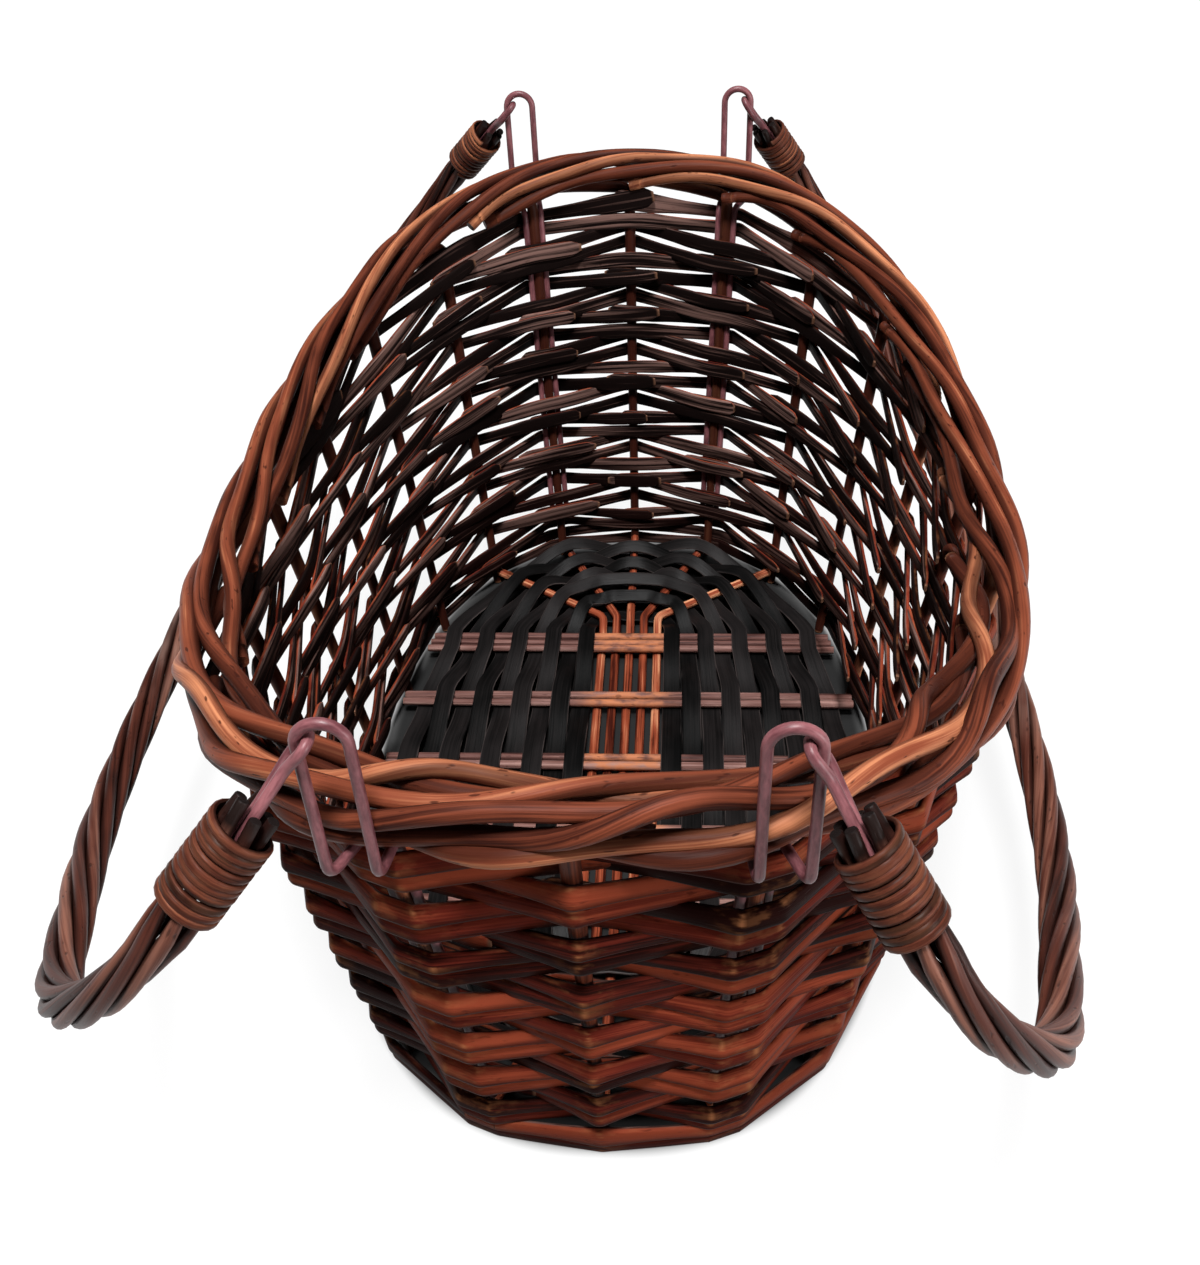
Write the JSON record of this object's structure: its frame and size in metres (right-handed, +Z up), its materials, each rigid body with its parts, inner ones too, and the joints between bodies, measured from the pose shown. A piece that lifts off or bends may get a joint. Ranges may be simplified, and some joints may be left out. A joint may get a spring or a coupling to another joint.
{
  "type": "oval willow basket",
  "caption": "Oval woven willow basket with swept-up ends, a rolled border and twisted swing handles that hang in wire eyes at both ends.",
  "frame": {"origin": "under the middle of the base, on the surface that the basket stands on", "axes": "+Z up, +Y along the basket towards the back end, +X to the right"},
  "size_m": [0.3996, 0.5471, 0.2644],
  "materials": {
    "stake_willow": "satin, oiled brown willow with dark flecks",
    "split_willow": "satin, stained red-brown split willow",
    "base_ribbon": "satin, nearly black flat ribbon",
    "base_stick": "satin, orange-brown willow",
    "handle_willow": "satin, red-brown twisted willow",
    "binding_cane": "satin, brown cane",
    "coated_wire": "dull purple-brown coating"
  },
  "bodies": {
    "basket": {"front_stakes": "stake_willow", "right_stakes": "stake_willow", "back_stakes": "stake_willow", "left_stakes": "stake_willow", "foot_band": "split_willow", "weave_band_01": "split_willow", "weave_band_02": "split_willow", "weave_band_03": "split_willow", "weave_band_04": "split_willow", "weave_band_05": "split_willow", "weave_band_06": "split_willow", "weave_band_07": "split_willow", "weave_band_08": "split_willow", "weave_band_09": "split_willow", "weave_band_10": "split_willow", "weave_band_11": "split_willow", "weave_band_12": "split_willow", "weave_band_13": "split_willow", "base_ribbon_01": "base_ribbon", "base_ribbon_02": "base_ribbon", "base_ribbon_03": "base_ribbon", "base_ribbon_04": "base_ribbon", "base_ribbon_05": "base_ribbon", "base_ribbon_06": "base_ribbon", "base_ribbon_07": "base_ribbon", "base_ribbon_08": "base_ribbon", "base_ribbon_09": "base_ribbon", "base_long_sticks": "base_stick", "base_cross_sticks": "base_stick", "front_right_eye": "coated_wire", "front_left_eye": "coated_wire", "back_right_eye": "coated_wire", "back_left_eye": "coated_wire"},
    "right_handle": {"right_handle_rods": "handle_willow", "right_front_loop": "coated_wire", "right_back_loop": "coated_wire", "right_front_binding": "binding_cane", "right_back_binding": "binding_cane"},
    "left_handle": {"left_handle_rods": "handle_willow", "left_front_loop": "coated_wire", "left_back_loop": "coated_wire", "left_front_binding": "binding_cane", "left_back_binding": "binding_cane"}
  },
  "joints": [
    {"name": "right_handle_swing", "type": "hinge", "parent": "basket", "child": "right_handle", "pos_m": [0.06109, 0, 0.25737], "axis": [0, -1, 0], "range_deg": [0, 161]},
    {"name": "left_handle_swing", "type": "hinge", "parent": "basket", "child": "left_handle", "pos_m": [-0.06109, 0, 0.25737], "axis": [0, 1, 0], "range_deg": [0, 152.5]}
  ]
}
